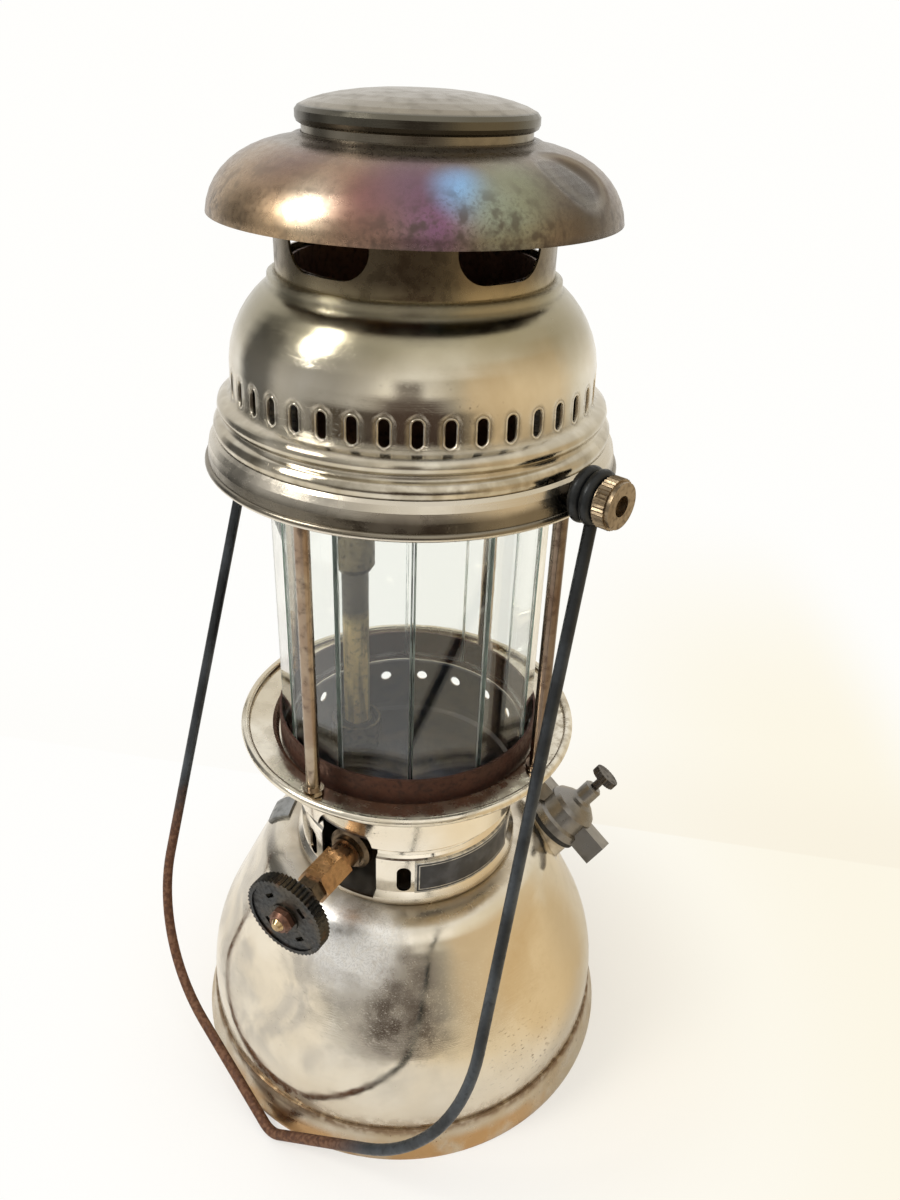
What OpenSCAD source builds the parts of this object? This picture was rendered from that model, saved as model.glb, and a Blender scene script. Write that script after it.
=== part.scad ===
// Pressure paraffin lantern: fuel tank with pump, caged strip globe and ventilated hood.
// +Z is up, the origin is the centre of the foot on the ground, and the bail turns about X.
// Azimuths are measured from the front (-Y) towards the right (+X).

/* [Tank] */
// How far the foot's lower edge stands out from the tank
foot_flare = 3.5; // [2.5:0.1:8]
// Height of the foot up to the seam
foot_h = 11.3; // [9.5:0.1:14]
// Radius of the tank at the seam
tank_r = 74; // [71:0.5:75.5]
// Height of the tank above the seam
tank_h = 71.2; // [66:0.2:78]
// Width of the tank's sloping flank and shoulder
flank_w = 21; // [18:0.5:24]
// Drop from the tank's top to the start of the flank
shoulder_drop = 7; // [5:0.5:9]
// Height of the end of the flank above the seam
flank_rise = 31; // [26:0.5:36]
// Thickness of the tank's sheet
tank_sheet = 1; // [0.8:0.1:1.3]
// Overlap of the tank's wall below the seam
seam_lap = 5; // [3:0.5:7]

/* [Collar and gallery] */
// How far the collar's lower wall lies inside the globe's seat
collar_inset = 6.1; // [5.8:0.1:8]
// Height of the collar's lower wall
collar_low_h = 20; // [18:0.5:24]
// Height of the groove between the collar's walls
collar_groove_h = 4.5; // [3:0.5:6]
// Height of the collar's upper wall
collar_up_h = 12.5; // [10:0.5:15]
// How far the upper wall stands out from the lower wall
collar_step = 2; // [1.6:0.1:3]
// Depth of the dish below the globe's seat
dish_depth = 22; // [18:0.5:24]
// How far the gallery's rim stands out from the rods' circle
gallery_lip = 6.3; // [5.4:0.1:7.4]
// Height of the gallery's rim above the globe's seat
gallery_rise = 4; // [3:0.5:6]
// Thickness of the thin spun sheet
sheet = 0.8; // [0.6:0.1:1]
// Number of air holes in the dish
air_holes = 18; // [12:1:24]
// Radius of an air hole
air_hole_r = 1.9; // [1.4:0.1:2.3]
// Width of the collar's keyhole
keyhole_w = 22; // [19:0.5:24]
// Height of the collar's keyhole, up to the top of its arch
keyhole_h = 32; // [29:0.5:33]
// Width of a collar slot
slot_w = 4.8; // [4:0.2:6]
// Height of a collar slot
slot_h = 10.6; // [8:0.2:12]
// Thickness of the name plate
plate_sheet = 0.6; // [0.4:0.1:0.8]

/* [Globe and cage] */
// Height of the glass strips
globe_h = 99; // [94:0.5:102]
// Radius of the globe's outer flats
globe_r = 41.2; // [40:0.1:41.4]
// Number of glass strips
strips = 12; // [10:1:14]
// Thickness of a glass strip
strip_t = 2; // [1.6:0.1:2.4]
// Height of the rings that hold the strips
ring_h = 9.8; // [8:0.2:12]
// Distance of the rods' centres from the rings that hold the strips
rod_gap = 6.56; // [5.6:0.02:7]
// Radius of a cage rod
rod_r = 2.15; // [1.8:0.05:2.4]
// How far the cage's top ring stands out from the rods' circle
cage_lip = 4.8; // [4.2:0.1:5]
// Height of the cage's top ring
cage_h = 11; // [9:0.5:12]

/* [Hood] */
// How far the hood's band stands out from the cage's top ring
band_out = 3.8; // [3.4:0.1:4.4]
// Radius of the rolled rim's section
rim_r = 1.1; // [0.8:0.1:1.3]
// Number of vent slots round the hood
vents = 40; // [32:1:44]
// Width of a vent slot
vent_w = 2.8; // [2.2:0.1:3.4]
// Height of a vent slot
vent_h = 7; // [6:0.1:8]
// Height of the vent slots' centres above the hood's ridge
vent_rise = 14.8; // [14:0.1:15.6]
// Height of the hood's shoulder above its ridge
shoulder_rise = 42.3; // [40:0.1:44]
// Outer radius of the windowed neck
neck_r = 37.2; // [36:0.1:38]
// Number of neck windows
windows = 5; // [4:1:6]
// Angle that one window covers
window_deg = 40; // [34:1:46]
// Height of a window
window_h = 14.4; // [12:0.1:16]
// Radius of a window's lower corners
window_round = 7.5; // [4:0.1:9]
// Outer radius of the hood's cap
cap_r = 53.6; // [51:0.1:56]
// Height of the top disc above the hood's shoulder
disc_rise = 42; // [40:0.1:44]
// Radius of the top disc
disc_r = 30.5; // [29.6:0.1:32]

/* [Bail] */
// Radius of the bail's wire
wire_r = 1.75; // [1.5:0.05:2.2]
// Radius of the studs that carry the bail
stud_r = 1.8; // [1.5:0.05:2]
// Gap between the foot and the bail that rests on the ground before it
bail_gap = 1.6; // [1:0.1:6]
// Reach of the bail's right bend beyond its eye
bail_right = 19.5; // [14:0.5:26]
// Reach of the bail's left bend beyond its eye
bail_left = 1; // [1:0.5:16]
// Radius of a knurled nut
nut_r = 6.9; // [6:0.1:8]
// Length of a knurled nut
nut_l = 5; // [4.4:0.1:6]
// Radius of the bush that the bail's eye turns on
bush_out_r = 3.8; // [3:0.1:4.4]

/* [Burner] */
// Distance of the vaporizer from the lantern's axis
vaporizer_x = 25.5; // [24.5:0.1:26]
// Outer radius of the vaporizer tube
vaporizer_r = 4.6; // [4:0.1:4.8]
// Bore radius of the vaporizer tube
vaporizer_bore = 2.6; // [2.2:0.1:3]
// Outer radius of the sleeve round the vaporizer's upper end
sleeve_r = 6.7; // [6:0.1:7.2]
// Length of that sleeve
sleeve_l = 31; // [26:1:50]
// Drop from the cage's top to the vaporizer's upper end
vaporizer_drop = 28.55; // [27.5:0.05:34]
// Outer radius of the mixing tube
mix_r = 5.5; // [4.8:0.1:6]
// Outer radius of the burner chamber
chamber_r = 9; // [8.2:0.1:10]
// Outer radius of the inner chimney
chimney_r = 33.5; // [33:0.1:35]
// Height of the inner chimney
chimney_h = 42.3; // [38:0.1:42.8]

/* [Valve and handwheel] */
// Height of the spindle above the tank
spindle_rise = 17.2; // [16.5:0.1:18]
// Radius of the spindle
spindle_r = 2.25; // [1.8:0.05:2.5]
// Distance of the handwheel's face from the lantern's axis
wheel_reach = 70.5; // [68:0.5:76]
// Radius of the handwheel
wheel_r = 14.3; // [12:0.1:16]
// Thickness of the handwheel's rim
wheel_t = 4.5; // [3.5:0.1:6]
// Number of notches in the handwheel's rim
wheel_notches = 52; // [36:1:64]
// Width across the flats of the gland hexagon
gland_af = 11; // [10:0.5:13]
// Length of the round neck behind the gland hexagon
gland_neck = 5; // [3:0.5:7]
// Offset of the eccentric pin
throw = 2; // [1.8:0.1:2.1]

/* [Filler] */
// Distance of the filler neck inside the tank's greatest radius
filler_inset = 19.5; // [19:0.5:23]
// Lean of the filler neck from the vertical
filler_lean = 40; // [37:1:46]
// Outer radius of the filler neck
filler_neck_r = 9.5; // [8.5:0.1:10]
// Bore radius of the filler neck
filler_bore = 7; // [5.5:0.1:7.5]
// Radius of the cap's flange
filler_cap_r = 11; // [10.7:0.1:12]
// Length of the cap from its gasket to the top of its boss
filler_cap_h = 21.3; // [18:0.1:23]
// Thickness of the gasket
gasket_t = 2; // [1.5:0.1:2.5]
// Width of a cap wing
wing_w = 9.5; // [8:0.5:11]
// Reach of a cap wing from the cap's axis
wing_reach = 19; // [15:0.5:19.5]
// Height of a cap wing
wing_h = 8.6; // [6:0.1:9.5]
// Radius of the release screw's head
screw_head_r = 5; // [4:0.1:6]

/* [Pump] */
// Distance of the pump's mouth inside the tank's greatest radius
pump_inset = 12; // [10:0.5:14]
// Outer radius of the pump barrel
pump_r = 8.5; // [7.5:0.1:9]
// Length of the pump barrel inside the tank
pump_l = 50; // [44:0.5:52]
// Wall of the pump barrel
pump_wall = 0.8; // [0.6:0.1:1]
// Radius of the pump rod
pump_rod_r = 2; // [1.6:0.1:2.4]
// Radius of the pump knob
knob_r = 9.5; // [8:0.1:11]
// Length of the pump knob
knob_l = 12; // [9:0.5:14]

/* [Hidden] */
$fn = 96;

// Clearances
fit = 0.05;       // brazed, threaded and running fits, on the radius
loose = 0.3;      // parts that only rest beside each other

// Azimuths
spindle_az = 12;
filler_az = 141.5;
pump_az = 205;
slot_azs = [-14, 43];
badge_from = 48.5;
badge_to = 110;
rod_azs = [9, 99, 189, 279];
window_az = 7;
air_hole_az = 16.5;
strip_az = 0;
patch_az = -57;

// Radii that follow the globe
strip_w = 2 * (globe_r - strip_t) * tan(180 / strips) - 0.25;
corner_r = norm([globe_r, strip_w / 2]);
ring_in_r = corner_r + 0.15;
rod_circle_r = ring_in_r + sheet + rod_gap;
seat_r = rod_circle_r - 6;
collar_r = seat_r - collar_inset;
gallery_r = rod_circle_r + gallery_lip;
cage_r = rod_circle_r + cage_lip;
band_r = cage_r + band_out;

// Radii that follow the tank
foot_r = tank_r + foot_flare;
filler_r = tank_r - filler_inset;
pump_at_r = tank_r - pump_inset;

// Heights
z_seam = foot_h;
z_tank = foot_h + tank_h;
z_groove = z_tank + collar_low_h;
z_shelf = z_groove + collar_groove_h;
z_dish = z_shelf + sheet + loose;
z_seat = z_dish + sheet + dish_depth;
z_gallery = z_seat + gallery_rise;
z_globe = z_seat + fit + sheet;
z_cage = z_globe + globe_h + ring_h;
z_pivot = z_cage - 4.6;
z_ridge = z_cage - 1.7;
z_spindle = z_tank + spindle_rise;
z_vapor_top = z_cage - vaporizer_drop;

// Openings in the tank
bush_r = 9;
hex_r = 12;

// A unit normal to the right of the step from a to b
function right_of(a, b) = let (d = b - a) [d[1], -d[0]] / norm(d);

// A path moved sideways by t, mitred at its corners
function shifted(p, t) = let (last = len(p) - 1) [for (i = [0:last])
    let (n1 = i > 0 ? right_of(p[i - 1], p[i]) : right_of(p[0], p[1]),
         n2 = i < last ? right_of(p[i], p[i + 1]) : right_of(p[last - 1], p[last]))
    p[i] + t * (n1 + n2) / (1 + n1 * n2)];

function reversed(p) = [for (i = [len(p) - 1:-1:0]) p[i]];

// A cubic curve from a to d with the handles b and c
function curve(a, b, c, d, n = 8) = [for (i = [0:n]) let (t = i / n, u = 1 - t)
    u * u * u * a + 3 * u * u * t * b + 3 * u * t * t * c + t * t * t * d];

// The height of a falling path at radius r
function height_at(p, r, i = 0) = (i >= len(p) - 2 || p[i + 1][0] >= r)
    ? p[i][1] + (r - p[i][0]) * (p[i + 1][1] - p[i][1]) / (p[i + 1][0] - p[i][0])
    : height_at(p, r, i + 1);

// Spun sheet: a path turned about Z, with the sheet's thickness to the path's right
module spun(path, t) {
    rotate_extrude() polygon(concat(path, reversed(shifted(path, t))));
}

// Things placed round the lantern
module at_azimuth(az, r = 0, z = 0) {
    rotate([0, 0, az]) translate([0, -r, z]) children();
}

// Child's +Z points outwards along a level radius
module radial(az, z) {
    rotate([0, 0, az]) translate([0, 0, z]) rotate([90, 0, 0]) children();
}

// A tube along Z
module tube(r_out, r_in, z0, z1) {
    translate([0, 0, z0]) difference() {
        cylinder(r = r_out, h = z1 - z0);
        translate([0, 0, -1]) cylinder(r = r_in, h = z1 - z0 + 2);
    }
}

module rod(r, z0, z1) {
    translate([0, 0, z0]) cylinder(r = r, h = z1 - z0);
}

module knurled(r, depth, n, h) {
    linear_extrude(h) polygon([for (i = [0:2 * n - 1]) let (q = r - depth * (i % 2), a = 180 * i / n)
        [q * cos(a), q * sin(a)]]);
}

// A slot's outline with round ends, upright along Y
module round_slot(w, h) {
    square([w, h - w], center = true);
    for (s = [-1, 1]) translate([0, s * (h - w) / 2]) circle(d = w, $fn = 24);
}

// ---- Tank ----

flank_top = [tank_r - flank_w, z_tank - shoulder_drop];
flank_end = [tank_r - 5, z_seam + flank_rise];
tank_flat_r = collar_r + collar_step + 0.6;
flank_slope = (flank_top[1] - flank_end[1]) / (flank_end[0] - flank_top[0]);
shoulder_path = concat([[bush_r + fit, z_tank]],
    curve([tank_flat_r, z_tank], [tank_flat_r + 5, z_tank],
        flank_top + [-2.6, 2.6 * flank_slope], flank_top, 6),
    curve(flank_end, flank_end + [2.4, -2.4 * flank_slope], [tank_r, z_seam + 18], [tank_r, z_seam + 9], 7),
    [[tank_r, z_seam - seam_lap]]);

// Child's +Z leaves the tank's surface at radius r with the given lean
module on_tank(az, r, lean) {
    at_azimuth(az, r, height_at(shoulder_path, r)) rotate([lean, 0, 0]) children();
}

pump_lean = atan(flank_slope);

module in_filler() {
    on_tank(filler_az, filler_r, filler_lean) children();
}

module in_pump() {
    on_tank(pump_az, pump_at_r, pump_lean) children();
}

module tank_shell() {
    color("silver") difference() {
        spun(shoulder_path, tank_sheet);
        in_filler() rod(filler_neck_r + fit, -12, 12);
        in_pump() rod(pump_r + fit, -12, 12);
    }
}

module foot_ring() {
    color("darkgoldenrod") spun([
        [tank_r + fit + sheet, z_seam + 1.5],
        [tank_r + fit + sheet + 0.3, z_seam * 0.85],
        [foot_r - 1.4, z_seam * 0.45],
        [foot_r, 1.2],
        [foot_r, 0]], sheet);
}

bottom_rise = 3;

module tank_bottom() {
    edge_r = tank_r - tank_sheet - fit;
    z_low = z_seam - seam_lap;
    color("tan") spun(concat([[0, z_low + bottom_rise]],
        curve([edge_r - 24, z_low + bottom_rise], [edge_r - 14, z_low + bottom_rise],
            [edge_r - 10, z_low], [edge_r - 5, z_low], 5),
        [[edge_r - sheet, z_low]]), sheet);
}

patch_w = 11;
patch_l = 9;
patch_t = 1.2;

module solder_patch() {
    color("dimgray") intersection() {
        spun(shifted(shoulder_path, -patch_t), patch_t - fit);
        on_tank(patch_az, tank_flat_r + 7, 30) translate([-patch_w / 2, -patch_l / 2, -8])
            cube([patch_w, patch_l, 16]);
    }
}

// ---- Collar, dish and gallery ----

collar_up_r = collar_r + collar_step;

module collar() {
    color("gainsboro") difference() {
        spun([
            [collar_up_r, z_shelf + collar_up_h],
            [collar_up_r, z_shelf + 1],
            [collar_up_r - 0.7, z_shelf],
            [collar_r - 0.8, z_shelf - 0.5],
            [collar_r - 1, z_groove + 0.8],
            [collar_r - 0.3, z_groove],
            [collar_r, z_groove - 0.8],
            [collar_r, z_tank + 5],
            [collar_up_r - 0.4, z_tank + 3.1],
            [collar_up_r - 0.1, z_tank + 1.7],
            [collar_up_r - 0.6, z_tank + 0.4],
            [collar_up_r - 1.2, z_tank + fit]], sheet);
        radial(spindle_az, 0) {
            translate([-keyhole_w / 2, z_tank + 2.5, collar_r - 8])
                cube([keyhole_w, keyhole_h - keyhole_w / 2, 14]);
            translate([0, z_tank + 2.5 + keyhole_h - keyhole_w / 2, collar_r - 8])
                cylinder(d = keyhole_w, h = 14);
        }
        for (az = slot_azs) radial(az, z_tank + 5.5 + slot_h / 2)
            translate([0, 0, collar_r - 8]) linear_extrude(14) round_slot(slot_w, slot_h);
    }
}

module badge_plate() {
    color("black") rotate([0, 0, badge_from - 90])
        rotate_extrude(angle = badge_to - badge_from)
            translate([collar_r + fit, z_tank + 5.2]) square([plate_sheet, collar_low_h - 6.4]);
}

dish_r = collar_up_r - 2 * sheet - loose;
module gallery_dish() {
    color("gray") difference() {
        union() {
            spun([
                [0, z_dish + sheet],
                [dish_r - 2, z_dish + sheet],
                [dish_r - 0.6, z_dish + sheet + 1],
                [dish_r - 0.1, z_dish + sheet + 3],
                [dish_r, z_seat - 0.8],
                [dish_r + 0.6, z_seat],
                [seat_r, z_seat],
                [seat_r + 0.6, z_seat + 0.6],
                [seat_r + 0.9, z_seat + gallery_rise - 1.9],
                [seat_r + 2, z_seat + gallery_rise - 1.2],
                [gallery_r - 1.5, z_gallery - 0.3]], sheet);
            rotate_extrude() translate([gallery_r - 1.5, z_gallery]) circle(r = 1.5, $fn = 32);
        }
        for (i = [0:air_holes - 1]) radial(air_hole_az + i * 360 / air_holes, z_seat - 7)
            rod(air_hole_r, dish_r - 4, dish_r + 4);
        for (az = rod_azs) at_azimuth(az, rod_circle_r, 0) rod(rod_r + fit, z_seat - 3, z_gallery + 6);
        translate([-vaporizer_x, 0, 0]) rod(vaporizer_r + fit, z_dish - 1, z_dish + 2);
    }
}

// ---- Valve, spindle and handwheel ----

body_r = 9.5;
arm_w = 13;
z_body_top = z_spindle + 6.5;
z_socket = z_spindle + 4.3;
boss_r = 5.5;
boss_end = 33.5;
disc_r_ecc = 3.4;
pin_r = 1;
wheel_swing = 60;
lift_travel = throw * sin(wheel_swing);
pin_play = 0.2;
yoke_half_t = 1.8;
yoke_half_w = throw + pin_r + 2;
yoke_half_h = 4.6;
valve_rod_r = 1.4;

module valve_body() {
    color("peru") difference() {
        union() {
            rod(bush_r, z_tank - 6, z_tank + 2);
            translate([0, 0, z_tank + fit]) cylinder(r = hex_r, h = 7, $fn = 6);
            rod(body_r, z_tank + 6, z_body_top);
            translate([-vaporizer_x, -arm_w / 2, z_spindle - 8.5])
                cube([vaporizer_x, arm_w, z_body_top - z_spindle + 8.5]);
            translate([-vaporizer_x, 0, 0]) rod(8.5, z_spindle - 9.5, z_body_top);
            radial(spindle_az, z_spindle) rod(boss_r, 5, boss_end);
        }
        radial(spindle_az, z_spindle) rod(spindle_r + fit, 4, boss_end + 1);
        rotate([0, 0, spindle_az])
            translate([-yoke_half_w - loose, -6.6, z_spindle - yoke_half_h - lift_travel - loose])
                cube([2 * (yoke_half_w + loose), 6.6 + yoke_half_t + loose, 30]);
        translate([-vaporizer_x - 2.2, -2.2, z_spindle - yoke_half_h - lift_travel - loose])
            cube([vaporizer_x, 4.4, 30]);
        translate([-vaporizer_x, 0, 0]) rod(vaporizer_r + fit, z_socket - fit, z_body_top + 1);
        rod(valve_rod_r + fit, z_tank - 7, z_spindle);
    }
}

module lift_yoke() {
    color("goldenrod") difference() {
        union() {
            rotate([0, 0, spindle_az]) translate([-yoke_half_w, -yoke_half_t, z_spindle - yoke_half_h])
                cube([2 * yoke_half_w, 2 * yoke_half_t, 2 * yoke_half_h]);
            translate([-vaporizer_x - 1.6, -1.5, z_spindle - yoke_half_h]) cube([vaporizer_x + 1.6, 3, 3]);
        }
        rotate([0, 0, spindle_az])
            translate([-throw - pin_r - loose, -yoke_half_t - 1, z_spindle - pin_r - pin_play])
                cube([2 * (throw + pin_r + loose), 2 * yoke_half_t + 2, 2 * (pin_r + pin_play)]);
    }
}

foot_valve_z = z_seam + 3;
tip_gap = lift_travel + fit;

module valve_rod() {
    color("goldenrod") {
        rod(valve_rod_r, foot_valve_z + 4.5 + tip_gap, z_spindle - yoke_half_h);
        translate([0, 0, foot_valve_z + 2.5 + tip_gap]) cylinder(r1 = 0.6, r2 = valve_rod_r, h = 2);
    }
}

module pickup_tube() {
    color("goldenrod") difference() {
        union() {
            rod(4.5, foot_valve_z, z_tank - 6);
            rod(6, foot_valve_z, foot_valve_z + 6);
        }
        rod(3.5, foot_valve_z + 2.4, z_tank - 5);
        rod(1, foot_valve_z - 1, foot_valve_z + 3);
    }
}

module needle_rod() {
    color("goldenrod") translate([-vaporizer_x, 0, 0]) {
        rod(0.9, z_spindle - yoke_half_h + 3, z_vapor_top - 1);
        rod(0.4, z_vapor_top - 1, z_vapor_top + 4);
    }
}

flange_from = boss_end;
flange_to = flange_from + 4.5;
hub_back = wheel_reach - wheel_t - 1.5;
packing_to = hub_back - 3.5;
gland_to = packing_to - 5;
gland_from = flange_to;

module spindle_flange() {
    color("saddlebrown") radial(spindle_az, z_spindle) difference() {
        union() {
            rod(7.8, flange_from, flange_from + 2);
            translate([0, 0, flange_from + 2]) cylinder(r1 = 7.8, r2 = 6.6, h = 1);
            rod(5.6, flange_from + 3, flange_to);
        }
        rod(spindle_r + fit, flange_from - 1, flange_to + 1);
    }
}

module gland_hex() {
    color("darkgoldenrod") radial(spindle_az, z_spindle) difference() {
        union() {
            rod(4.8, gland_from, gland_from + gland_neck);
            intersection() {
                translate([0, 0, gland_from + gland_neck])
                    cylinder(d = gland_af / cos(30), h = gland_to - gland_from - gland_neck, $fn = 6);
                translate([0, 0, gland_from]) cylinder(r1 = gland_af / 2 + gland_to - gland_from + 0.2,
                    r2 = gland_af / 2 + 0.2, h = gland_to - gland_from);
            }
        }
        rod(spindle_r + fit, gland_from - 1, gland_to + 1);
    }
}

module packing_nut() {
    color("dimgray") radial(spindle_az, z_spindle) difference() {
        union() {
            translate([0, 0, gland_to]) cylinder(r = 5.2, h = packing_to - gland_to - 1.2, $fn = 6);
            translate([0, 0, packing_to - 1.2]) cylinder(r1 = 4.4, r2 = 3.6, h = 1.2);
        }
        rod(spindle_r + fit, gland_to - 1, packing_to + 1);
    }
}

module spindle() {
    color("silver") radial(spindle_az, z_spindle) {
        rod(spindle_r, 5, wheel_reach + 3);
        translate([0, 0, wheel_reach + 3]) cylinder(r1 = spindle_r, r2 = spindle_r - 0.9, h = 1.2);
        rod(disc_r_ecc, 2.4, 6);
        translate([throw, 0, 0]) rod(pin_r, -yoke_half_t + 0.2, 2.6);
    }
}

hub_r = 5;

module handwheel() {
    color("darkslategray") radial(spindle_az, z_spindle) difference() {
        union() {
            difference() {
                translate([0, 0, wheel_reach - wheel_t]) knurled(wheel_r, 0.7, wheel_notches, wheel_t);
                rod(wheel_r - 2.8, wheel_reach - wheel_t - 1, wheel_reach - wheel_t + 1.8);
                rod(wheel_r - 1.7, wheel_reach - 0.5, wheel_reach + 1);
            }
            rod(hub_r, hub_back, wheel_reach);
        }
        rod(spindle_r + fit, hub_back - 1, wheel_reach + 2);
        for (a = [40, 130, 220, 310]) rotate([0, 0, a])
            translate([-1.8, 7.6, wheel_reach - wheel_t]) cube([3.6, 1.5, 10]);
    }
}

nut_face = 3;

module wheel_nut() {
    color("sienna") radial(spindle_az, z_spindle) difference() {
        union() {
            translate([0, 0, wheel_reach + fit]) cylinder(r = 4.4, h = 1.6, $fn = 6);
            translate([0, 0, wheel_reach + fit + 1.6]) cylinder(r1 = 3.8, r2 = 3, h = nut_face - 1.6);
        }
        rod(spindle_r + fit, wheel_reach - 1, wheel_reach + nut_face + 1);
    }
}

// ---- Vaporizer and burner ----

module vaporizer_tube() {
    color("darkkhaki") translate([-vaporizer_x, 0, 0])
        tube(vaporizer_r, vaporizer_bore, z_socket, z_vapor_top);
}

module vaporizer_sleeve() {
    color("dimgray") translate([-vaporizer_x, 0, 0]) difference() {
        union() {
            translate([0, 0, z_vapor_top - sleeve_l]) cylinder(r1 = sleeve_r - 1.2, r2 = sleeve_r, h = 2);
            rod(sleeve_r, z_vapor_top - sleeve_l + 2, z_vapor_top);
        }
        rod(vaporizer_r + fit, z_vapor_top - sleeve_l - 1, z_vapor_top + 1);
    }
}

jet_l = 7;

module jet_nipple() {
    color("goldenrod") translate([-vaporizer_x, 0, z_vapor_top + fit]) difference() {
        union() {
            cylinder(r = 5.2, h = 3, $fn = 6);
            translate([0, 0, 3]) cylinder(r1 = 3.6, r2 = 1.6, h = jet_l - 3);
        }
        translate([0, 0, -1]) cylinder(r = 1.3, h = jet_l - 0.5);
        translate([0, 0, -1]) cylinder(r = 0.6, h = jet_l + 2);
    }
}

cup_r = 8.6;
cup_h = 10.5;

module spirit_cup() {
    color("dimgray") translate([-vaporizer_x, 0, z_dish + sheet + fit]) difference() {
        cylinder(r = cup_r, h = cup_h);
        translate([0, 0, 1.2]) tube(cup_r - 0.9, vaporizer_r + fit + 0.9, 0, cup_h);
        translate([0, 0, -1]) cylinder(r = vaporizer_r + fit, h = cup_h + 2);
    }
}

z_mix_bend = z_cage + 6;
z_mix_low = z_vapor_top + fit + jet_l + 4;
z_chamber = z_mix_low - 1;
chamber_h = 14;
mix_wall = 0.8;

module mixing_solid(r, trim) {
    translate([-vaporizer_x, 0, 0]) rod(r, z_mix_low - trim, z_mix_bend);
    rod(r, z_chamber + chamber_h - 3 - trim, z_mix_bend);
    translate([-vaporizer_x / 2, 0, z_mix_bend]) rotate([90, 0, 0])
        rotate_extrude(angle = 180) translate([vaporizer_x / 2, 0]) circle(r = r);
}

module mixing_tube() {
    color("darkkhaki") difference() {
        mixing_solid(mix_r, 0);
        mixing_solid(mix_r - mix_wall, 1);
    }
}

module burner_chamber() {
    color("dimgray") difference() {
        rod(chamber_r, z_chamber, z_chamber + chamber_h);
        rod(chamber_r - 1, z_chamber - 1, z_chamber + chamber_h - 3);
        rod(mix_r + fit, z_chamber, z_chamber + chamber_h + 1);
    }
}

nozzle_h = 14;

module burner_nozzle() {
    color("wheat") difference() {
        union() {
            rod(chamber_r - 1 - fit, z_chamber - 1, z_chamber + 5);
            rod(chamber_r + 1.5, z_chamber - 5, z_chamber - fit);
            rod(chamber_r - 1, z_chamber - 7, z_chamber - 5);
            translate([0, 0, z_chamber - nozzle_h])
                cylinder(r1 = chamber_r - 1.5, r2 = chamber_r + 0.5, h = nozzle_h - 7);
        }
        rod(4.5, z_chamber - nozzle_h - 1, z_chamber + 6);
    }
}

vent_hole_r = 8.3;
plate_r = cage_r - 3;

module burner_plate() {
    color("dimgray") difference() {
        rod(plate_r, z_cage + fit, z_cage + fit + sheet);
        for (x = [0, -vaporizer_x]) translate([x, 0, 0]) rod(mix_r + fit, z_cage - 1, z_cage + 3);
        for (i = [1:5]) at_azimuth(270 + 60 * i, 24, 0) rod(vent_hole_r, z_cage - 1, z_cage + 3);
    }
}

module inner_chimney() {
    z0 = z_cage + 2 * fit + sheet;
    color("rosybrown") tube(chimney_r, chimney_r - 0.7, z0, z0 + chimney_h);
}

// ---- Globe and cage ----

module globe_strips() {
    color([0.8, 0.9, 0.88, 0.4]) for (i = [0:strips - 1])
        at_azimuth(strip_az + i * 360 / strips, globe_r, z_globe + fit)
            translate([-strip_w / 2, 0, 0]) cube([strip_w, strip_t, globe_h]);
}

module globe_ring(z, up) {
    translate([0, 0, z]) mirror([0, 0, up ? 0 : 1]) rotate_extrude() polygon([
        [globe_r - strip_t - 0.6, 0], [ring_in_r + sheet, 0], [ring_in_r + sheet, ring_h],
        [ring_in_r, ring_h], [ring_in_r, sheet], [globe_r - strip_t - 0.6, sheet]]);
}

module globe_ring_lower() {
    color("saddlebrown") globe_ring(z_seat + fit, true);
}

module globe_ring_upper() {
    color("dimgray") globe_ring(z_globe + 2 * fit + globe_h + sheet, false);
}

collar_gap = 0.35;

module cage_rod(az) {
    z_plate = z_seat + gallery_rise - 0.7;
    z_nut = z_plate - sheet - collar_gap - 0.1;
    color("rosybrown") at_azimuth(az, rod_circle_r, 0) {
        rod(rod_r, z_nut - 1.5, z_cage - sheet - fit);
        rod(rod_r + 1.1, z_plate + collar_gap, z_plate + collar_gap + 1.6);
        rod(rod_r + 1.1, z_nut - 1.5, z_nut);
    }
}

module rod_front() { cage_rod(rod_azs[0]); }
module rod_right() { cage_rod(rod_azs[1]); }
module rod_back() { cage_rod(rod_azs[2]); }
module rod_left() { cage_rod(rod_azs[3]); }

cage_in_r = ring_in_r + sheet + loose;

module cage_ring() {
    z0 = z_cage - cage_h;
    color("dimgray") difference() {
        rotate_extrude() polygon([
            [cage_in_r, z0], [cage_in_r, z_cage], [cage_r, z_cage], [cage_r, z0],
            [cage_r - sheet, z0], [cage_r - sheet, z_cage - sheet],
            [cage_in_r + sheet, z_cage - sheet], [cage_in_r + sheet, z0]]);
        for (s = [-1, 1]) translate([0, 0, z_pivot]) rotate([0, 90 * s, 0])
            rod(stud_r + fit, cage_r - 4, cage_r + 4);
    }
}

// ---- Bail and its studs ----

eye_r = bush_out_r + loose + wire_r;
coil_x = band_r + rim_r + loose + wire_r;
eye_x = coil_x + 2 * wire_r;
nut_x = eye_x + wire_r + loose;

module on_pivot(side) {
    translate([0, 0, z_pivot]) rotate([0, 90 * side, 0]) children();
}

module stud(side) {
    color("dimgray") on_pivot(side) {
        rod(stud_r, cage_r - sheet - 1, nut_x + nut_l - 3);
        rod(stud_r + 1.2, cage_r - sheet - 1.9, cage_r - sheet - 0.35);
        rod(bush_out_r, coil_x - wire_r, nut_x - fit);
    }
}

module stud_right() { stud(1); }
module stud_left() { stud(-1); }

nut_bore = 2.8;

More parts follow.
